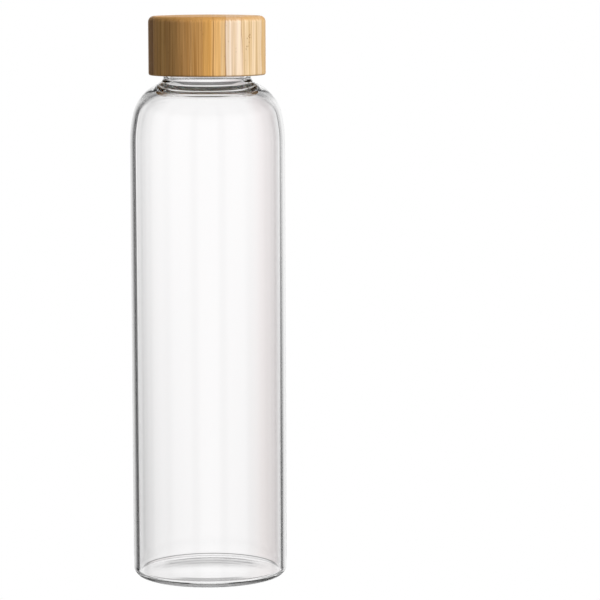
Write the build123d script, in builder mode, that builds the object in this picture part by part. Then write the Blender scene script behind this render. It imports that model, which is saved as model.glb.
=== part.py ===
from build123d import *
import math
import os

# Glass water bottle with a screw-on bamboo cap, in millimetres.
# The origin is the centre of the base, on the surface that the bottle stands on, and +Z is up.

# ---- driving dimensions ----

# Glass body: a straight barrel that eases into a round shoulder, thicker towards a short neck.
body_radius = 32.5
wall = 2.3
heel_radius = 4.0
inner_heel_radius = 1.2
floor_thickness = 2.4
push_up_radius = 24.0
push_up_height = 0.5
shoulder_start = 183.2
ease_radius = 58.3
ease_angle = 12.6  # degrees
shoulder_radius = 17.8
inner_shoulder_radius = 13.7
neck_radius = 18.3
outer_flare_radius = 3.0
inner_flare_radius = 3.0
rim_height = 228.1
rim_round = 0.9

# Screw thread: one start, right-handed, the same pitch on the glass and in the liner.
pitch = 4.0
thread_depth = 1.1
thread_root_width = 2.2
thread_crest_width = 0.9
thread_sink = 0.4
thread_run_out = 0.08  # turns, at each end
thread_end_fullness = 0.05  # of thread_depth, at the very ends
glass_thread_start = 216.0
glass_thread_turns = 2.0
liner_thread_drop = 1.6
liner_thread_turns = 1.75

# Cap
cap_radius = 24.5
cap_bottom = 212.0
cap_top = 237.0
cap_crown = 0.4
cap_top_round = 2.5
cap_bottom_round = 0.8
cap_mouth_round = 0.5
cap_bore_radius = 21.0
cap_ceiling = 231.0

# Liner glued into the cap's bore
glue_gap = 0.1
liner_wall = 1.2
liner_plate = 1.3
liner_recess = 1.0

# Sealing ring
gasket_inner_radius = 15.2
gasket_side_gap = 0.3
seal_gap = 0.05
gasket_round = 0.3

# ---- worked out from them ----

ease_center_x = body_radius - ease_radius
ease_tilt = math.radians(ease_angle)
cap_edge_top = cap_top - cap_crown
liner_outer_radius = cap_bore_radius - glue_gap
liner_bore_radius = liner_outer_radius - liner_wall
liner_ceiling = cap_ceiling - liner_plate
liner_bottom = cap_bottom + liner_recess
liner_thread_start = glass_thread_start - liner_thread_drop
gasket_outer_radius = liner_bore_radius - gasket_side_gap
gasket_bottom = rim_height + seal_gap


def barrel_outline(inset, bottom, heel, round_over, flare, top):
    """Half outline of base, barrel, shoulder and neck, inset from the glass's outer face.

    heel, round_over and flare are the radii of the arcs at the foot of the barrel, over the shoulder
    and at the foot of the neck.
    """
    round_center_x = ease_center_x + (ease_radius - inset - round_over) * math.cos(ease_tilt)
    neck_reach = neck_radius - inset + flare - round_center_x
    shoulder_angle = math.degrees(math.acos(neck_reach / (round_over + flare)))
    base = Line((0, bottom), (body_radius - inset - heel, bottom))
    heel_arc = JernArc(base @ 1, base % 1, heel, 90)
    barrel = Line(heel_arc @ 1, (body_radius - inset, shoulder_start))
    ease = JernArc(barrel @ 1, barrel % 1, ease_radius - inset, ease_angle)
    shoulder = JernArc(ease @ 1, ease % 1, round_over, shoulder_angle - ease_angle)
    flare_arc = JernArc(shoulder @ 1, shoulder % 1, flare, -shoulder_angle)
    neck = Line(flare_arc @ 1, (neck_radius - inset, top))
    Polyline(neck @ 1, (0, top), (0, bottom))


def half_plane(height, angle):
    """The plane through the axis at this angle, its local x pointing out from the axis."""
    return Plane(
        origin=(0, 0, height),
        x_dir=Vector(1, 0, 0).rotate(Axis.Z, angle),
        z_dir=Vector(0, -1, 0).rotate(Axis.Z, angle),
    )


def ridge_outline(root_radius, outward, fullness):
    """Cross-section of a thread ridge, sunk a little into the wall that it stands on."""
    crest = root_radius + outward * thread_depth * fullness
    sunk = root_radius - outward * thread_sink
    Polyline(
        (sunk, -thread_root_width / 2),
        (crest, -thread_crest_width / 2),
        (crest, thread_crest_width / 2),
        (sunk, thread_root_width / 2),
        close=True,
    )


def thread_ridge(root_radius, outward, start, turns):
    """A helical ridge on a round wall, fading in and out at its ends. outward is 1 or -1."""
    run_in_end = thread_run_out
    run_out_start = turns - thread_run_out
    stretches = (
        (0, thread_end_fullness, run_in_end, 1),
        (run_in_end, 1, run_out_start, 1),
        (run_out_start, 1, turns, thread_end_fullness),
    )
    with BuildPart() as ridge:
        for first, first_fullness, last, last_fullness in stretches:
            for turn, fullness in ((first, first_fullness), (last, last_fullness)):
                with BuildSketch(half_plane(start + pitch * turn, 360 * turn)):
                    with BuildLine():
                        ridge_outline(root_radius, outward, fullness)
                    make_face()
            helix = Edge.make_helix(pitch, pitch * (last - first), root_radius)
            path = helix.moved(Location((0, 0, start + pitch * first), (0, 0, 360 * first)))
            sweep(path=path, multisection=True, is_frenet=True)
    return ridge.part


def revolved_cup(outer, bore, bottom, ceiling, top):
    """Half outline of a cup that stands upside down: a side wall with a flat plate on top."""
    Polyline(
        (0, top),
        (outer, top),
        (outer, bottom),
        (bore, bottom),
        (bore, ceiling),
        (0, ceiling),
        close=True,
    )


def shallow_dome(reach, base, rise):
    """Outline of a low dome over the axis, closed along its base."""
    arc = ThreePointArc((-reach, base), (0, base + rise), (reach, base))
    Line(arc @ 1, arc @ 0)


os.makedirs("parts", exist_ok=True)

glass_thread = thread_ridge(neck_radius, 1, glass_thread_start, glass_thread_turns)
liner_thread = thread_ridge(liner_bore_radius, -1, liner_thread_start, liner_thread_turns)

# ---- glass body: one blown piece with its thread and rounded rim ----
with BuildPart() as glass_bottle:
    with BuildSketch(Plane.XZ):
        with BuildLine():
            barrel_outline(0, 0, heel_radius, shoulder_radius, outer_flare_radius, rim_height)
        make_face()
    revolve(axis=Axis.Z)
    with BuildSketch(Plane.XZ):
        with BuildLine():
            barrel_outline(
                wall,
                floor_thickness,
                inner_heel_radius,
                inner_shoulder_radius,
                inner_flare_radius,
                rim_height,
            )
        make_face()
    revolve(axis=Axis.Z, mode=Mode.SUBTRACT)
    rim = glass_bottle.faces().sort_by(Axis.Z)[-1]
    fillet(rim.edges(), rim_round)
    # The base is pushed up a little, so that the bottle stands on a ring.
    with BuildSketch(Plane.XZ):
        with BuildLine():
            shallow_dome(push_up_radius, 0, push_up_height)
        make_face()
        split(bisect_by=Plane.YZ)
    revolve(axis=Axis.Z, mode=Mode.SUBTRACT)
    add(glass_thread)
glass_bottle.part.label = "glass_bottle"
export_step(glass_bottle.part, "parts/glass_bottle.step")

# ---- cap: turned from laminated bamboo, with a faintly crowned top ----
with BuildPart() as bamboo_cap:
    with BuildSketch(Plane.XZ):
        with BuildLine():
            revolved_cup(cap_radius, cap_bore_radius, cap_bottom, cap_ceiling, cap_edge_top)
        make_face()
    revolve(axis=Axis.Z)
    top_rim = bamboo_cap.edges().filter_by(GeomType.CIRCLE).sort_by(Axis.Z)[-1]
    fillet(top_rim, cap_top_round)
    lower_rims = bamboo_cap.edges().filter_by(GeomType.CIRCLE).group_by(Axis.Z)[0]
    fillet(lower_rims.sort_by(SortBy.RADIUS)[-1], cap_bottom_round)
    mouth_rims = bamboo_cap.edges().filter_by(GeomType.CIRCLE).group_by(Axis.Z)[0]
    fillet(mouth_rims.sort_by(SortBy.RADIUS)[0], cap_mouth_round)
    with BuildSketch(Plane.XZ):
        with BuildLine():
            shallow_dome(cap_radius - cap_top_round, cap_edge_top, cap_crown)
        make_face()
        split(bisect_by=Plane.YZ)
    revolve(axis=Axis.Z)
bamboo_cap.part.label = "bamboo_cap"
export_step(bamboo_cap.part, "parts/bamboo_cap.step")

# ---- liner: the plastic cup with the female thread, glued into the bamboo ----
with BuildPart() as threaded_liner:
    with BuildSketch(Plane.XZ):
        with BuildLine():
            revolved_cup(
                liner_outer_radius, liner_bore_radius, liner_bottom, liner_ceiling, cap_ceiling
            )
        make_face()
    revolve(axis=Axis.Z)
    add(liner_thread)
threaded_liner.part.label = "threaded_liner"
export_step(threaded_liner.part, "parts/threaded_liner.step")

# ---- sealing ring: sits under the liner's ceiling, on the mouth rim ----
with BuildPart() as silicone_gasket:
    with BuildSketch(Plane.XY.offset(gasket_bottom)):
        Circle(gasket_outer_radius)
        Circle(gasket_inner_radius, mode=Mode.SUBTRACT)
    extrude(amount=liner_ceiling - gasket_bottom)
    fillet(silicone_gasket.edges().filter_by(GeomType.CIRCLE), gasket_round)
silicone_gasket.part.label = "silicone_gasket"
export_step(silicone_gasket.part, "parts/silicone_gasket.step")
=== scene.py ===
import math

import bpy
import numpy as np
from mathutils import Matrix, Vector


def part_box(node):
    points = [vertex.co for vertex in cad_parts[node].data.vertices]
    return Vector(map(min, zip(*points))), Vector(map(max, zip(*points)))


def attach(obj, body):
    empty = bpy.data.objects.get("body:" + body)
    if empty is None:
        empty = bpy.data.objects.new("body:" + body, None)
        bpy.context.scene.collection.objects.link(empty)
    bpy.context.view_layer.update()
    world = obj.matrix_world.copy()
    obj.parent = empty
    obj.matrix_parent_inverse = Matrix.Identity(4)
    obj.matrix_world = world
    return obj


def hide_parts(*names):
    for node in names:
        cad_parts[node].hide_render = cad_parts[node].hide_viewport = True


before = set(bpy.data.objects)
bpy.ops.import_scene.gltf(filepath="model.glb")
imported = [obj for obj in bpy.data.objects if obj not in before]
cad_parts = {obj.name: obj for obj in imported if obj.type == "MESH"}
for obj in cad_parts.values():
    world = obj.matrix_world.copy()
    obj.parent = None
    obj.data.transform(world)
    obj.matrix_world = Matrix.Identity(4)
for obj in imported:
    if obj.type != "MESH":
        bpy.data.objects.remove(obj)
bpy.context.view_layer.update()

# A clear glass water bottle with a bamboo cap. Shapes are worked out in millimetres, in the
# frame's own axes, and stored in metres.
MM = 0.001

# ---- sizes ----

# The bottle. Its shoulder begins with a gentle arc through EASE_ANGLE degrees and goes on in a rounder
# one. The inner shoulder is tighter than the outer one, so the wall thickens towards the neck.
glass_low, glass_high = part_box("glass_bottle")
BODY_RADIUS = glass_high.x / MM
RIM_HEIGHT = glass_high.z / MM
WALL = 2.3
HEEL_RADIUS = 4.0
INNER_HEEL_RADIUS = 1.2
FLOOR_THICKNESS = 2.4
PUSH_UP_RADIUS = 24.0
PUSH_UP_HEIGHT = 0.5
SHOULDER_START = 183.2
EASE_RADIUS = 58.3
EASE_ANGLE = 12.6
SHOULDER_RADIUS = 17.8
NECK_RADIUS = 18.3
OUTER_FLARE_RADIUS = 3.0
INNER_FLARE_RADIUS = 3.0
INNER_SHOULDER_RADIUS = 13.7
RIM_ROUND = 0.9

# The thread. Its ridge is whole as far from its middle as half its crest, and gone by half its root,
# and it fades in and out over a run-out, which is a share of a turn.
PITCH = 4.0
THREAD_DEPTH = 1.1
THREAD_START = 216.0
THREAD_TURNS = 2.0
THREAD_RUN_OUT = 0.08
THREAD_HALF_ROOT = 1.0
THREAD_HALF_CREST = 0.35

# The cap.
cap_low, cap_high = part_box("bamboo_cap")
CAP_RADIUS = cap_high.x / MM
CAP_BOTTOM = cap_low.z / MM
CAP_TOP = cap_high.z / MM
CAP_CROWN = 0.4
CAP_TOP_ROUND = 2.5
CAP_BOTTOM_ROUND = 0.8
CAP_MOUTH_ROUND = 0.5
CAP_BORE_RADIUS = 21.0
CAP_CEILING = 231.0

# How many flat faces go round each piece.
GLASS_SEGMENTS = 520
CAP_SEGMENTS = 256


# ---- shape helpers ----


def arc(center, radius, start, end, steps):
    """Points on an arc from one angle to the other, in degrees, both ends included."""
    angles = np.radians(np.linspace(start, end, steps + 1))
    return [(center[0] + radius * math.cos(a), center[1] + radius * math.sin(a)) for a in angles]


def line(start, end, steps):
    """Points between two others, both ends left out."""
    shares = [(i + 1) / (steps + 1) for i in range(steps)]
    return [tuple(s + (e - s) * t for s, e in zip(start, end)) for t in shares]


def bearing(center, point):
    """The angle in degrees at which point is seen from center."""
    return math.degrees(math.atan2(point[1] - center[1], point[0] - center[0]))


def toward(center, angle, distance):
    """The point at this angle, in degrees, and distance from center."""
    a = math.radians(angle)
    return center[0] + distance * math.cos(a), center[1] + distance * math.sin(a)


def lathe(name, profile, segments, relief=None):
    """A closed solid of revolution from an outline of (radius, height) pairs, in millimetres, that
    starts and ends on the axis. relief(radius, height, angle) moves the surface out or in."""
    rings = np.array(profile[1:-1])
    angles = np.arange(segments) * 2 * np.pi / segments
    radii = np.repeat(rings[:, :1], segments, 1)
    heights = np.repeat(rings[:, 1:], segments, 1)
    turned = np.broadcast_to(angles, radii.shape)
    if relief is not None:
        radii = radii + relief(radii, heights, turned)
    grid = np.stack([radii * np.cos(turned), radii * np.sin(turned), heights], -1).reshape(-1, 3)
    poles = [(0, 0, profile[0][1]), (0, 0, profile[-1][1])]
    vertices = np.vstack([grid, poles]) * MM
    first_pole, last_pole = len(grid), len(grid) + 1
    around = [(s, (s + 1) % segments) for s in range(segments)]
    last_ring = (len(rings) - 1) * segments
    faces = [(first_pole, b, a) for a, b in around]
    for ring in range(len(rings) - 1):
        low, high = ring * segments, (ring + 1) * segments
        faces += [(low + a, low + b, high + b, high + a) for a, b in around]
    faces += [(last_ring + a, last_ring + b, last_pole) for a, b in around]
    mesh = bpy.data.meshes.new(name)
    mesh.from_pydata(vertices.tolist(), [], faces)
    mesh.shade_smooth()
    mesh.validate()
    piece = bpy.data.objects.new(name, mesh)
    bpy.context.scene.collection.objects.link(piece)
    return piece


def smooth_step(low, high, value):
    """0 up to low, 1 from high on, and a smooth rise between them."""
    t = np.clip((value - low) / (high - low), 0, 1)
    return t * t * (3 - 2 * t)


# ---- shader helpers ----


def node(tree, kind, settings=None, **inputs):
    """A shader node with its settings and its inputs, each a value or another node's output."""
    made = tree.nodes.new(kind)
    for name, value in (settings or {}).items():
        setattr(made, name, value)
    for key, value in inputs.items():
        socket = made.inputs[int(key[1:])] if key[1:].isdigit() else made.inputs[key.replace("_", " ")]
        if isinstance(value, bpy.types.NodeSocket):
            tree.links.new(value, socket)
        else:
            socket.default_value = value
    return made


def math_node(tree, operation, first, second=0.0):
    """One operation on one number or two, each a value or another node's output."""
    return node(tree, "ShaderNodeMath", {"operation": operation}, i0=first, i1=second).outputs[0]


def map_range(tree, value, from_low, from_high, to_low, to_high, smooth=False):
    """A value carried from one range over to another, and held at that range's ends."""
    kind = "SMOOTHSTEP" if smooth else "LINEAR"
    made = node(tree, "ShaderNodeMapRange", {"interpolation_type": kind})
    for socket, given in zip(made.inputs, (value, from_low, from_high, to_low, to_high)):
        if isinstance(given, bpy.types.NodeSocket):
            tree.links.new(given, socket)
        else:
            socket.default_value = given
    return made.outputs[0]


def ramp(tree, value, stops, low, high, interpolation="LINEAR"):
    """A colour ramp over (value, colour) stops that lie between low and high."""
    made = node(tree, "ShaderNodeValToRGB", Fac=map_range(tree, value, low, high, 0, 1))
    band = made.color_ramp
    band.interpolation = interpolation
    while len(band.elements) < len(stops):
        band.elements.new(1.0)
    for element, (place, colour) in zip(band.elements, stops):
        element.position = (place - low) / (high - low)
        grey = isinstance(colour, (int, float))
        element.color = (colour, colour, colour, 1) if grey else (*colour, 1)
    return made.outputs["Color"]


def mix(tree, factor, first, second, blend="MIX"):
    """Two colours mixed, or the first multiplied by the second, by as much as the factor says."""
    return node(
        tree, "ShaderNodeMixRGB", {"blend_type": blend}, Fac=factor, Color1=first, Color2=second
    ).outputs[0]


def coordinates(tree, vector):
    """The three parts of a vector, or of a colour."""
    return node(tree, "ShaderNodeSeparateXYZ", Vector=vector).outputs


def stretched(tree, place, stretch):
    """A place with each of its three coordinates multiplied by its own number."""
    multiply = {"operation": "MULTIPLY"}
    return node(tree, "ShaderNodeVectorMath", multiply, i0=place, i1=stretch).outputs[0]


def place_in_mm(tree):
    """A surface point's place in the frame's own axes, in millimetres."""
    place = node(tree, "ShaderNodeTexCoord").outputs["Object"]
    return stretched(tree, place, (1 / MM, 1 / MM, 1 / MM))


# Noise runs from 0 to 1, but is mostly within the first of these. The second is narrower, for tones
# that often reach both ends.
NOISE_SPAN = (0.3, 0.7)
NOISE_MIDDLE = (0.35, 0.65)


def noise(tree, place, scale, detail):
    """Noise with about so many changes a millimetre."""
    made = node(tree, "ShaderNodeTexNoise", Vector=place, Scale=scale, Detail=detail)
    return made.outputs["Fac"]


def streaks(tree, place, across, along, detail=2.0):
    """Noise drawn out along Z, with so many changes a millimetre across and along."""
    return noise(tree, stretched(tree, place, (across, across, along)), 1.0, detail)


def cells(tree, place, across, along):
    """A pattern of random cells, so many a millimetre across and along Z: the node's outputs."""
    stretch = (across, across, along)
    return node(
        tree, "ShaderNodeTexVoronoi", {"feature": "F1"}, Vector=stretched(tree, place, stretch), Scale=1.0
    ).outputs


def principled(name):
    """A new material, its Principled shader and its node tree."""
    material = bpy.data.materials.new(name)
    material.use_nodes = True
    tree = material.node_tree
    return material, tree.nodes["Principled BSDF"], tree


def finish_surface(tree, shader, colour, roughness, relief, strength, depth):
    """Gives the shader its colour, its roughness and a bump so many millimetres deep."""
    tree.links.new(colour, shader.inputs["Base Color"])
    tree.links.new(roughness, shader.inputs["Roughness"])
    bump = node(tree, "ShaderNodeBump", Height=relief, Strength=strength, Distance=depth * MM)
    tree.links.new(bump.outputs[0], shader.inputs["Normal"])


def settings_of(shader, **values):
    """Sets numbers and colours that are the same all over on the shader's own sockets."""
    for key, value in values.items():
        shader.inputs[key.replace("_", " ")].default_value = value


# ---- glass ----


def flare_arc(shoulder_center, shoulder_radius, neck_radius, flare):
    """The centre of the arc between shoulder and neck, and the angle at which it meets the shoulder."""
    x = neck_radius + flare
    rise = math.sqrt((shoulder_radius + flare) ** 2 - (x - shoulder_center[0]) ** 2)
    center = (x, shoulder_center[1] + rise)
    return center, bearing(shoulder_center, center)


def glass_profile():
    """The bottle's outline: under the base, up the outside, over the rim and down the inside. The
    last number of each arc or line says how finely it is cut."""
    ease_center = (BODY_RADIUS - EASE_RADIUS, SHOULDER_START)
    shoulder_center = toward(ease_center, EASE_ANGLE, EASE_RADIUS - SHOULDER_RADIUS)
    push_up_bend = (PUSH_UP_RADIUS**2 + PUSH_UP_HEIGHT**2) / (2 * PUSH_UP_HEIGHT)
    push_up_center = (0, PUSH_UP_HEIGHT - push_up_bend)
    push_up_edge = bearing(push_up_center, (PUSH_UP_RADIUS, 0))
    heel_center = (BODY_RADIUS - HEEL_RADIUS, HEEL_RADIUS)
    thread_low = THREAD_START - PITCH / 2
    thread_high = THREAD_START + PITCH * (THREAD_TURNS + 0.5)

    outside = arc(push_up_center, push_up_bend, 90, push_up_edge, 6)
    outside += line(outside[-1], (heel_center[0], 0), 2)
    outside += arc(heel_center, HEEL_RADIUS, -90, 0, 12)
    outside += arc(ease_center, EASE_RADIUS, 0, EASE_ANGLE, 10)
    flare_center, meeting = flare_arc(
        shoulder_center, SHOULDER_RADIUS, NECK_RADIUS, OUTER_FLARE_RADIUS
    )
    outside += arc(shoulder_center, SHOULDER_RADIUS, EASE_ANGLE, meeting, 22)[1:]
    outside += arc(flare_center, OUTER_FLARE_RADIUS, meeting + 180, 180, 10)[1:]
    outside += line((NECK_RADIUS, thread_low), (NECK_RADIUS, thread_high), 44)
    rim_center = (NECK_RADIUS - RIM_ROUND, RIM_HEIGHT - RIM_ROUND)
    outside += arc(rim_center, RIM_ROUND, 0, 90, 6)

    bore = NECK_RADIUS - WALL
    inner_rim = (bore + RIM_ROUND, RIM_HEIGHT - RIM_ROUND)
    inner_center = toward(ease_center, EASE_ANGLE, EASE_RADIUS - WALL - INNER_SHOULDER_RADIUS)
    flare_center, meeting = flare_arc(inner_center, INNER_SHOULDER_RADIUS, bore, INNER_FLARE_RADIUS)
    inner_heel = (BODY_RADIUS - WALL - INNER_HEEL_RADIUS, FLOOR_THICKNESS + INNER_HEEL_RADIUS)
    inside = arc(inner_rim, RIM_ROUND, 90, 180, 6)
    inside += arc(flare_center, INNER_FLARE_RADIUS, 180, meeting + 180, 14)
    inside += arc(inner_center, INNER_SHOULDER_RADIUS, meeting, EASE_ANGLE, 20)[1:]
    inside += arc(ease_center, EASE_RADIUS - WALL, EASE_ANGLE, 0, 10)[1:]
    inside += arc(inner_heel, INNER_HEEL_RADIUS, 0, -90, 10)
    inside += line(inside[-1], (0, FLOOR_THICKNESS), 2)
    return outside + inside + [(0, FLOOR_THICKNESS)]


def glass_thread(radius, height, angle):
    """How far the moulded thread stands out of the neck."""
    raised = np.zeros_like(radius)
    for whole_turns in range(int(THREAD_TURNS) + 1):
        turns = angle / (2 * np.pi) + whole_turns
        turns_left = THREAD_TURNS - turns
        off_crest = np.abs(height - THREAD_START - PITCH * turns)
        ridge = 1 - smooth_step(THREAD_HALF_CREST, THREAD_HALF_ROOT, off_crest)
        fade = smooth_step(0, THREAD_RUN_OUT, turns) * smooth_step(0, THREAD_RUN_OUT, turns_left)
        raised = np.maximum(raised, THREAD_DEPTH * ridge * fade)
    return np.where(np.isclose(radius, NECK_RADIUS), raised, 0)


GLASS_TINT = (0.992, 0.988, 0.989, 1)
GLASS_IOR = 1.47


def glass_material():
    """Clear polished borosilicate glass, which refracts at both faces of its wall."""
    material, shader, _ = principled("clear_glass")
    settings_of(shader, Base_Color=GLASS_TINT, Roughness=0.0, IOR=GLASS_IOR, Transmission_Weight=1.0)
    return material


glass = lathe("glass_body", glass_profile(), GLASS_SEGMENTS, glass_thread)
glass.data.materials.append(glass_material())
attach(glass, "bottle")
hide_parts("glass_bottle")


# ---- bamboo cap ----


def cap_profile():
    """The cap's outline: over the crowned top, down the side and up the bore."""
    edge_top = CAP_TOP - CAP_CROWN
    crown_reach = CAP_RADIUS - CAP_TOP_ROUND
    crown_bend = (crown_reach**2 + CAP_CROWN**2) / (2 * CAP_CROWN)
    crown_center = (0, CAP_TOP - crown_bend)
    crown_edge = bearing(crown_center, (crown_reach, edge_top))
    top_corner = (crown_reach, edge_top - CAP_TOP_ROUND)
    low_corner = (CAP_RADIUS - CAP_BOTTOM_ROUND, CAP_BOTTOM + CAP_BOTTOM_ROUND)
    mouth_corner = (CAP_BORE_RADIUS + CAP_MOUTH_ROUND, CAP_BOTTOM + CAP_MOUTH_ROUND)
    profile = arc(crown_center, crown_bend, 90, crown_edge, 24)
    profile += arc(top_corner, CAP_TOP_ROUND, 90, 0, 16)[1:]
    profile += line(profile[-1], (CAP_RADIUS, low_corner[1]), 24)
    profile += arc(low_corner, CAP_BOTTOM_ROUND, 0, -90, 8)
    profile += line(profile[-1], (mouth_corner[0], CAP_BOTTOM), 3)
    profile += arc(mouth_corner, CAP_MOUTH_ROUND, -90, -180, 6)
    profile += line(profile[-1], (CAP_BORE_RADIUS, CAP_CEILING), 8)
    profile += [(CAP_BORE_RADIUS, CAP_CEILING)]
    profile += line(profile[-1], (0, CAP_CEILING), 6)
    return profile + [(0, CAP_CEILING)]


# The bamboo boards that the cap is turned from: where each begins across the cap, and its colour. At the
# front these colours also hold painted shade and a painted sheen.
FRONT_BOARDS_WITH_PAINTED_LIGHT = (
    # Dark brown painted shade: this board stands for the shaded left edge of the cap, not for a darker
    # board.
    (-30.0, (0.28, 0.13, 0.03)),
    # From here to the middle the boards are darker towards the left, partly by their own tones and partly
    # by painted shade.
    (-22.4, (0.64, 0.355, 0.12)),
    (-17.3, (0.51, 0.28, 0.10)),
    (-12.6, (0.57, 0.31, 0.112)),
    (-7.0, (0.62, 0.35, 0.13)),
    (-1.5, (0.66, 0.37, 0.12)),
    (1.9, (0.69, 0.415, 0.165)),
    (5.4, (0.67, 0.46, 0.24)),
    # This board is paler partly by its own tone and partly by a painted sheen of the key light.
    (7.5, (0.74, 0.61, 0.49)),
    (14.5, (0.70, 0.55, 0.37)),
    (18.0, (0.71, 0.565, 0.40)),
    (22.5, (0.615, 0.42, 0.205)),
)
# The ramps across the boards run this far to each side, past the cap's edge.
BOARDS_HALF = CAP_RADIUS + 6
# The front boards reach back to this depth, and each row of boards behind them is so deep.
FRONT_DEPTH = -3.0
ROW_DEPTH = 16.0
# The boards' edges wander this far to each side, with so many changes a millimetre across and along.
BOARD_WAVER = 0.3
WAVER_CHANGES = (0.15, 0.04)
# The colours of the boards in the rows behind, by a number drawn for each board, and what spreads
# the seeds that those numbers are drawn from.
BOARD_SEED = 50.0
BACK_COLOURS = (
    (0.0, (0.52, 0.28, 0.09)),
    (0.35, (0.62, 0.35, 0.12)),
    (0.6, (0.68, 0.43, 0.18)),
    (0.8, (0.71, 0.54, 0.34)),
    (1.0, (0.65, 0.46, 0.25)),
)
# The glue lines that show between boards, by their place across the cap, and half their width.
GLUE_LINES = (-22.4, -7.2, -1.8, 2.5, 7.5, 14.4)
GLUE_HALF = 0.13
GLUE_STRENGTH = 0.6
GLUE_COLOUR = (0.30, 0.14, 0.045, 1)


def glue_lines(tree, across, rows_back):
    """1 on the glue between two boards or between two rows of them, and 0 elsewhere."""
    stops = [(-BOARDS_HALF, 0.0)]
    for line_across in GLUE_LINES:
        stops += [(line_across - GLUE_HALF, 1.0), (line_across + GLUE_HALF, 0.0)]
    between_boards = ramp(tree, across, stops, -BOARDS_HALF, BOARDS_HALF, "CONSTANT")
    depth_in_row = math_node(tree, "FRACT", rows_back)
    between_rows = math_node(tree, "LESS_THAN", depth_in_row, GLUE_HALF / ROW_DEPTH)
    return math_node(tree, "MAXIMUM", between_boards, between_rows)


def board_colour_with_painted_light(tree, place):
    """The colour of the board at this place, each board with its own; the front boards also carry painted
    shade on the left and a painted sheen on the pale board.
    """
    x, y, _ = coordinates(tree, place)
    waver = streaks(tree, place, *WAVER_CHANGES)
    off = map_range(tree, waver, *NOISE_SPAN, -BOARD_WAVER, BOARD_WAVER)
    across = math_node(tree, "ADD", x, off)
    # The front boards' colours hold painted shade towards the left and a painted sheen on the pale board
    # from 7.5 mm.
    front = ramp(tree, across, FRONT_BOARDS_WITH_PAINTED_LIGHT, -BOARDS_HALF, BOARDS_HALF, "CONSTANT")
    rows_back = math_node(tree, "DIVIDE", math_node(tree, "SUBTRACT", y, FRONT_DEPTH), ROW_DEPTH)
    # No two front boards have the same red, so it tells the boards apart in the rows behind too.
    board = math_node(tree, "MULTIPLY", coordinates(tree, front)[0], BOARD_SEED)
    seed = node(tree, "ShaderNodeCombineXYZ", X=board, Y=math_node(tree, "FLOOR", rows_back))
    drawn = node(tree, "ShaderNodeTexWhiteNoise", Vector=seed.outputs[0]).outputs["Value"]
    back = ramp(tree, drawn, BACK_COLOURS, 0, 1)
    colour = mix(tree, math_node(tree, "GREATER_THAN", y, FRONT_DEPTH), front, back)
    glue = math_node(tree, "MULTIPLY", glue_lines(tree, across, rows_back), GLUE_STRENGTH)
    return mix(tree, glue, colour, GLUE_COLOUR)


# Small dark pores. So many cells a millimetre, across and along, may each hold one, which is dark
# out to the first of these shares of a cell and gone by the second.
PORES_ACROSS = 1.25
PORES_ALONG = 0.85
PORE_EDGE = (0.2, 0.36)
PORE_COLOUR = (0.20, 0.10, 0.035, 1)
# A drift of them lies on the front: its middle, half its width and height, and how far it leans
# to the right for each millimetre up. All the cells in it hold a pore, and it has a soft edge.
PORE_DRIFT = (17.1, 226.5)
PORE_DRIFT_SIZE = (0.9, 4.0)
PORE_DRIFT_LEAN = 0.22
PORE_DRIFT_EDGE = (0.6, 1.3)
PORE_DRIFT_STRENGTH = 0.9
# Elsewhere only the cells whose random number is above this hold one, and it is fainter.
LONE_PORE_ABOVE = 0.965
LONE_PORE_STRENGTH = 0.25


def pores(tree, place):
    """How dark a place is with pores."""
    x, y, z = coordinates(tree, place)
    pattern = cells(tree, place, PORES_ACROSS, PORES_ALONG)
    dot = map_range(tree, pattern["Distance"], *PORE_EDGE, 1, 0, smooth=True)
    chosen = coordinates(tree, pattern["Color"])[0]
    up = math_node(tree, "SUBTRACT", z, PORE_DRIFT[1])
    leaned = math_node(tree, "MULTIPLY", up, PORE_DRIFT_LEAN)
    sideways = math_node(tree, "SUBTRACT", math_node(tree, "SUBTRACT", x, PORE_DRIFT[0]), leaned)
    squares = [
        math_node(tree, "POWER", math_node(tree, "DIVIDE", away, half), 2.0)
        for away, half in zip((sideways, up), PORE_DRIFT_SIZE)
    ]
    in_drift = map_range(tree, math_node(tree, "ADD", *squares), *PORE_DRIFT_EDGE, 1, 0)
    drift = math_node(tree, "MULTIPLY", in_drift, math_node(tree, "LESS_THAN", y, 0.0))
    strong = math_node(tree, "MULTIPLY", drift, PORE_DRIFT_STRENGTH)
    is_lone = math_node(tree, "GREATER_THAN", chosen, LONE_PORE_ABOVE)
    faint = math_node(tree, "MULTIPLY", is_lone, LONE_PORE_STRENGTH)
    return math_node(tree, "MULTIPLY", dot, math_node(tree, "MAXIMUM", strong, faint))


# The streaks: changes a millimetre across and along, and how much detail.
BROAD_STREAKS = (0.45, 0.008)
MIDDLING_STREAKS = (0.95, 0.012, 3.0)
FIBRES = (3.6, 0.05, 3.0)
# What they multiply the boards' colours by: the broad ones drift from deep to pale, the middling
# ones are light or dark by how high their noise is, and the fibres run from this dark to this bright.
DEEP_DRIFT = (0.93, 0.88, 0.78, 1)
PALE_DRIFT = (1.05, 1.06, 1.08, 1)
LIGHT_STREAK = (1.13, 1.16, 1.22, 1)
LIGHT_STREAK_NOISE = (0.50, 0.66)
DARK_STREAK = (0.80, 0.74, 0.64, 1)
DARK_STREAK_NOISE = (0.47, 0.33)
FIBRE_BRIGHTNESS = (0.86, 1.12)


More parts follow.
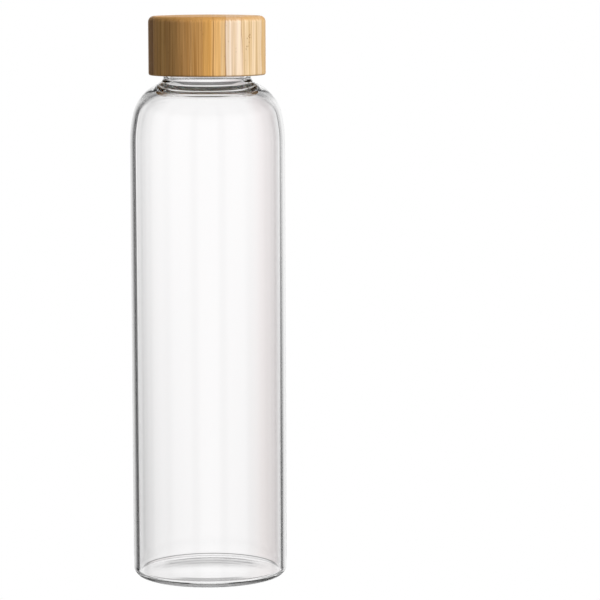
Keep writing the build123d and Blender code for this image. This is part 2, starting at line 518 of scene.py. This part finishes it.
def streaked(tree, place, colour, fibres):
    """A colour with bamboo's streaks and fibres in it."""
    broad = streaks(tree, place, *BROAD_STREAKS)
    middling = streaks(tree, place, *MIDDLING_STREAKS)
    drift = map_range(tree, broad, *NOISE_MIDDLE, 0, 1, smooth=True)
    colour = mix(tree, 1.0, colour, mix(tree, drift, DEEP_DRIFT, PALE_DRIFT), "MULTIPLY")
    light = map_range(tree, middling, *LIGHT_STREAK_NOISE, 0, 1, smooth=True)
    colour = mix(tree, light, colour, LIGHT_STREAK, "MULTIPLY")
    dark = map_range(tree, middling, *DARK_STREAK_NOISE, 0, 1, smooth=True)
    colour = mix(tree, dark, colour, DARK_STREAK, "MULTIPLY")
    fibre = map_range(tree, fibres, *NOISE_SPAN, *FIBRE_BRIGHTNESS)
    return mix(tree, 1.0, colour, fibre, "MULTIPLY")


# The dark bundles in bamboo: so many a millimetre across and along, dark out to the first of these
# shares of a cell and gone by the second, and how strong on the side and on the end grain.
BUNDLES_ACROSS = 1.25
BUNDLES_ALONG = 0.02
BUNDLE_EDGE = (0.16, 0.34)
BUNDLE_STRENGTH = (0.16, 0.5)
BUNDLE_COLOUR = (0.36, 0.18, 0.055, 1)
# End grain comes in as a surface faces up or down between these amounts.
END_GRAIN_FACING = (0.12, 0.7)
END_GRAIN_COLOUR = (0.50, 0.265, 0.08, 1)
END_GRAIN_STRENGTH = 0.7
# Fibres stand up, bundles are sunk, and the bump has this strength and depth.
FIBRE_RELIEF = 0.6
BUNDLE_RELIEF = -0.4
BAMBOO_BUMP = (0.35, 0.12)
BAMBOO_ROUGHNESS = (0.5, 0.38)
BAMBOO_SPECULAR = 0.08


def bamboo_material():
    """Laminated bamboo with its fibres upright: streaks down the side, dots of end grain on the top."""
    material, shader, tree = principled("bamboo")
    place = place_in_mm(tree)
    normal = node(tree, "ShaderNodeTexCoord").outputs["Normal"]
    facing_up = math_node(tree, "ABSOLUTE", coordinates(tree, normal)[2])
    end_grain = map_range(tree, facing_up, *END_GRAIN_FACING, 0, 1, smooth=True)
    fibres = streaks(tree, place, *FIBRES)
    off_bundle = cells(tree, place, BUNDLES_ACROSS, BUNDLES_ALONG)["Distance"]
    bundle = map_range(tree, off_bundle, *BUNDLE_EDGE, 1, 0, smooth=True)
    bundle_strength = map_range(tree, end_grain, 0, 1, *BUNDLE_STRENGTH)

    colour = streaked(tree, place, board_colour_with_painted_light(tree, place), fibres)
    colour = mix(tree, math_node(tree, "MULTIPLY", bundle, bundle_strength), colour, BUNDLE_COLOUR)
    end_share = math_node(tree, "MULTIPLY", end_grain, END_GRAIN_STRENGTH)
    colour = mix(tree, end_share, colour, END_GRAIN_COLOUR)
    colour = mix(tree, pores(tree, place), colour, PORE_COLOUR)
    raised = math_node(tree, "MULTIPLY", fibres, FIBRE_RELIEF)
    sunk = math_node(tree, "MULTIPLY", bundle, BUNDLE_RELIEF)
    relief = math_node(tree, "ADD", raised, sunk)
    roughness = map_range(tree, fibres, *NOISE_SPAN, *BAMBOO_ROUGHNESS)
    finish_surface(tree, shader, colour, roughness, relief, *BAMBOO_BUMP)
    settings_of(shader, Specular_IOR_Level=BAMBOO_SPECULAR)
    return material


cap = lathe("bamboo_cap_body", cap_profile(), CAP_SEGMENTS)
cap.data.materials.append(bamboo_material())
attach(cap, "cap")
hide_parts("bamboo_cap")


# ---- liner and gasket ----

# Each one's two tones, its roughness from and to, its changes a millimetre for the tones and for the
# texture, and its bump's strength and depth.
LINER_TONES = ((0.70, 0.665, 0.58, 1), (0.77, 0.74, 0.67, 1))
LINER_ROUGHNESS = (0.38, 0.52)
LINER_FLOW = (0.12, 0.5, 3.0)
LINER_TEXTURE = (6.0, 2.0)
LINER_BUMP = (0.2, 0.05)
SILICONE_TONES = ((0.74, 0.74, 0.72, 1), (0.82, 0.82, 0.81, 1))
SILICONE_ROUGHNESS = (0.5, 0.65)
SILICONE_CLOUD = (0.35, 3.0)
SILICONE_TEXTURE = (8.0, 2.0)
SILICONE_BUMP = (0.2, 0.04)


def liner_material():
    """Moulded off-white plastic: faint flow marks and a fine satin texture."""
    material, shader, tree = principled("liner_plastic")
    place = place_in_mm(tree)
    flow = streaks(tree, place, *LINER_FLOW)
    texture = noise(tree, place, *LINER_TEXTURE)
    tone = map_range(tree, flow, *NOISE_MIDDLE, 0, 1, smooth=True)
    colour = mix(tree, tone, *LINER_TONES)
    roughness = map_range(tree, texture, *NOISE_SPAN, *LINER_ROUGHNESS)
    finish_surface(tree, shader, colour, roughness, texture, *LINER_BUMP)
    settings_of(shader, Subsurface_Weight=0.08, Subsurface_Scale=1.0 * MM)
    return material


def silicone_material():
    """Milky silicone rubber: soft, a little cloudy, with a matt moulded skin."""
    material, shader, tree = principled("silicone")
    place = place_in_mm(tree)
    cloud = noise(tree, place, *SILICONE_CLOUD)
    skin = noise(tree, place, *SILICONE_TEXTURE)
    tone = map_range(tree, cloud, *NOISE_MIDDLE, 0, 1, smooth=True)
    colour = mix(tree, tone, *SILICONE_TONES)
    roughness = map_range(tree, skin, *NOISE_SPAN, *SILICONE_ROUGHNESS)
    finish_surface(tree, shader, colour, roughness, skin, *SILICONE_BUMP)
    settings_of(shader, Subsurface_Weight=0.25, Subsurface_Scale=1.5 * MM, Sheen_Weight=0.1)
    return material


def paint(cad_node, material):
    """Gives a CAD node's slots a material."""
    for material_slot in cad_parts[cad_node].material_slots:
        material_slot.material = material


paint("threaded_liner", liner_material())
paint("silicone_gasket", silicone_material())


# ---- camera ----

# In metres: how far in front of the bottle's axis, and how high above the table.
CAMERA_DISTANCE = 1.25
CAMERA_HEIGHT = 0.2602
# In millimetres.
CAMERA_LENS = 178.91
SENSOR_WIDTH = 36
# In degrees: how far it looks down, turns to the right and leans to the right.
CAMERA_PITCH = 6.534
CAMERA_YAW = 1.766
CAMERA_ROLL = 0.182

camera_data = bpy.data.cameras.new("camera")
camera_data.lens = CAMERA_LENS
camera_data.sensor_width = SENSOR_WIDTH
camera = bpy.data.objects.new("camera", camera_data)
bpy.context.scene.collection.objects.link(camera)
camera.matrix_world = (
    Matrix.Translation((0, -CAMERA_DISTANCE, CAMERA_HEIGHT))
    @ Matrix.Rotation(math.radians(-CAMERA_YAW), 4, "Z")
    @ Matrix.Rotation(math.radians(90 - CAMERA_PITCH), 4, "X")
    @ Matrix.Rotation(math.radians(-CAMERA_ROLL), 4, "Z")
)
bpy.context.scene.camera = camera


# ---- studio ----

# The studio as the glass sees it, by direction from the bottle: degrees round from straight behind
# it, positive to the right, with how bright the studio is there. First what shows through the glass
# at eye level, with a dim stretch near 20 degrees to each side that draws the barrel's inner edges.
THROUGH = (
    (-36, 1.0),
    (-23, 0.95),
    (-20, 0.41),
    (-14, 0.72),
    (-8, 0.87),
    (-3, 1.0),
    (3, 1.0),
    (5, (0.90, 0.86, 0.86)),
    (13, (0.68, 0.64, 0.64)),
    (20, 0.48),
    (23, 0.95),
    (36, 1.0),
)
# The same a little below eye level.
THROUGH_BELOW = (
    (-36, 1.0),
    (-23, 0.95),
    (-20, 0.29),
    (-14, 0.52),
    (-8, 0.69),
    (-3, 0.89),
    (0, 0.97),
    (2.5, 0.92),
    (5, (0.76, 0.72, 0.71)),
    (13, (0.61, 0.57, 0.57)),
    (20, 0.42),
    (23, 0.95),
    (36, 1.0),
)
# Then what the glass reflects, in its wall and on its faces, with a dark stop to each side.
REFLECTED = (
    (-36, 0.0),
    (-30, 0.03),
    (-25, 0.28),
    (-20, 0.58),
    (-10, 0.82),
    (0, 1.0),
    (27, 0.84),
    (31, 0.6),
    (33, 0.3),
    (36, 0.2),
)
# The same a little below eye level, where the stop to the right begins sooner.
REFLECTED_BELOW = REFLECTED[:-4] + ((26, 0.8), (29, 0.3), (32, 0.0), (36, 0.0))
# The ramps that hold those stops run this many degrees to each side.
RAMPS_HALF = 45
# The heights, in degrees above the horizon, between which the ramps below eye level come in.
BELOW_EYE_LEVEL = (-3.5, -11)
# The ramps count up to the first bearing, and give way to the rest of the studio by a further one,
# which is wider below eye level.
BEHIND_HALF = 37.5
BEHIND_END = (39.0, 45.0)
# In the rest of the studio a narrow stretch every 45 degrees is this dark. It is darkest where the
# cosine of eight times the bearing is the first of these, and ends at the other.
DARK_STRETCH = 0.1
DARK_STRETCH_EDGE = (-1, -0.3)
# In reflections it is less dark, by bearing from behind the bottle round to the camera's side.
DARK_STRETCH_REFLECTED = ((0, 0.45), (85, 0.45), (100, 0.75), (180, 0.75))
# How bright the studio is by height, in degrees above the horizon.
BY_HEIGHT = ((-90, 1.0), (18, 1.0), (32, 0.35), (90, 0.3))
# A dim stretch of the floor far behind the bottle, by height too, and how far it reaches to each side.
FAR_FLOOR = ((-90, 1.0), (-26, 1.0), (-25, 0.2), (-19, 0.2), (-18, 1.0), (90, 1.0))
FAR_FLOOR_HALF = 20.0
# Steeper down than that the floor is bright all round: the heights between which that comes in.
NEAR_FLOOR = (-42, -50)
NEAR_FLOOR_COLOUR = (0.95, 0.95, 0.95, 1)
# What the studio gives to surfaces that scatter light, and what the camera sees of it.
AMBIENT = (0.2, 0.2, 0.2, 1)
WHITE = (1, 1, 1, 1)


def studio_behind(tree, round_about, below, is_reflected):
    """How bright the studio is behind the bottle, in what the glass lets through or reflects."""
    through, through_below, reflected, reflected_below = (
        ramp(tree, round_about, stops, -RAMPS_HALF, RAMPS_HALF)
        for stops in (THROUGH, THROUGH_BELOW, REFLECTED, REFLECTED_BELOW)
    )
    seen_through = mix(tree, below, through, through_below)
    seen_reflected = mix(tree, below, reflected, reflected_below)
    return mix(tree, is_reflected, seen_through, seen_reflected)


def studio_elsewhere(tree, round_about, aside, is_reflected):
    """How bright the rest of the studio is: white, with a narrow dark stretch every 45 degrees."""
    eight_times = math_node(tree, "RADIANS", math_node(tree, "MULTIPLY", round_about, 8))
    stretches = math_node(tree, "COSINE", eight_times)
    dark_reflected = ramp(tree, aside, DARK_STRETCH_REFLECTED, 0, 180)
    darkest = map_range(tree, is_reflected, 0, 1, DARK_STRETCH, dark_reflected)
    return map_range(tree, stretches, *DARK_STRETCH_EDGE, darkest, 1, smooth=True)


def studio_pattern(tree, bounces):
    """How bright the studio is in each direction, for what the glass bends or reflects."""
    x, y, z = coordinates(tree, node(tree, "ShaderNodeTexCoord").outputs["Generated"])
    round_about = math_node(tree, "DEGREES", math_node(tree, "ARCTAN2", x, y))
    aside = math_node(tree, "ABSOLUTE", round_about)
    upward = math_node(tree, "DEGREES", math_node(tree, "ARCSINE", z))
    below = map_range(tree, upward, *BELOW_EYE_LEVEL, 0, 1)
    is_reflected = math_node(tree, "GREATER_THAN", bounces, 0.5)
    behind = studio_behind(tree, round_about, below, is_reflected)
    elsewhere = studio_elsewhere(tree, round_about, aside, is_reflected)
    behind_end = map_range(tree, below, 0, 1, *BEHIND_END)
    is_behind = map_range(tree, aside, BEHIND_HALF, behind_end, 1, 0, smooth=True)
    around = mix(tree, is_behind, elsewhere, behind)
    is_far_floor = math_node(tree, "LESS_THAN", aside, FAR_FLOOR_HALF)
    far_floor = ramp(tree, upward, FAR_FLOOR, -90, 90)
    with_floor = mix(tree, is_far_floor, around, far_floor, "MULTIPLY")
    by_height = ramp(tree, upward, BY_HEIGHT, -90, 90)
    is_near_floor = map_range(tree, upward, *NEAR_FLOOR, 0, 1)
    far_off = mix(tree, 1.0, with_floor, by_height, "MULTIPLY")
    return mix(tree, is_near_floor, far_off, NEAR_FLOOR_COLOUR)


def studio_world():
    """The studio: white to the camera, its pattern to the glass, and even light to the rest."""
    world = bpy.data.worlds.new("studio")
    world.use_nodes = True
    tree = world.node_tree
    light_path = node(tree, "ShaderNodeLightPath").outputs
    pattern = studio_pattern(tree, light_path["Glossy Depth"])
    lit = mix(tree, light_path["Is Diffuse Ray"], pattern, AMBIENT)
    seen = mix(tree, light_path["Is Camera Ray"], lit, WHITE)
    tree.links.new(seen, tree.nodes["Background"].inputs["Color"])
    return world


bpy.context.scene.world = studio_world()

# In metres: half the floor's side, and how far it lies below the bottle.
FLOOR_HALF = 3.0
FLOOR_GAP = 0.0002


def white_floor():
    """A white floor that shows to the camera alone: what the glass bends goes on to the studio."""
    signs = ((-1, -1), (1, -1), (1, 1), (-1, 1))
    corners = [(x * FLOOR_HALF, y * FLOOR_HALF, -FLOOR_GAP) for x, y in signs]
    mesh = bpy.data.meshes.new("floor")
    mesh.from_pydata(corners, [], [(0, 1, 2, 3)])
    floor = bpy.data.objects.new("floor", mesh)
    bpy.context.scene.collection.objects.link(floor)
    material = bpy.data.materials.new("white_floor")
    material.use_nodes = True
    tree = material.node_tree
    tree.nodes.clear()
    white = node(tree, "ShaderNodeEmission", Color=WHITE, Strength=1.0).outputs[0]
    clear = node(tree, "ShaderNodeBsdfTransparent").outputs[0]
    to_camera = node(tree, "ShaderNodeLightPath").outputs["Is Camera Ray"]
    surface = node(tree, "ShaderNodeMixShader", i0=to_camera, i1=clear, i2=white).outputs[0]
    node(tree, "ShaderNodeOutputMaterial", Surface=surface)
    mesh.materials.append(material)
    return floor


white_floor()

# The soft lights: where each hangs, in metres, its power in watts and its colour. Then the side of
# each, and the point that it is turned to.
LIGHTS = (
    ("key", (1.0, -0.92, 0.95), 32, (1.0, 0.96, 0.9)),
    ("fill", (-0.1, 1.4, 0.9), 20, (1.0, 0.97, 0.93)),
)
LIGHT_SIZE = 0.9
LIT_POINT = (0, 0, 0.2)


def area_light(name, place, power, colour):
    """A soft square light that lights surfaces and isn't seen in the glass."""
    data = bpy.data.lights.new(name, "AREA")
    data.size = LIGHT_SIZE
    data.energy = power
    data.color = colour
    light = bpy.data.objects.new(name, data)
    bpy.context.scene.collection.objects.link(light)
    light.location = place
    aim = Vector(LIT_POINT) - Vector(place)
    light.rotation_euler = aim.to_track_quat("-Z", "Y").to_euler()
    light.visible_camera = False
    light.visible_glossy = False
    light.visible_transmission = False


for light_settings in LIGHTS:
    area_light(*light_settings)

bpy.context.scene.view_settings.view_transform = "Standard"

# Light passes through and along the wall many times before it leaves the glass.
BOUNCES = {
    "max_bounces": 32,
    "transmission_bounces": 28,
    "glossy_bounces": 12,
    "transparent_max_bounces": 16,
}
for kind_of_bounce, count in BOUNCES.items():
    setattr(bpy.context.scene.cycles, kind_of_bounce, count)
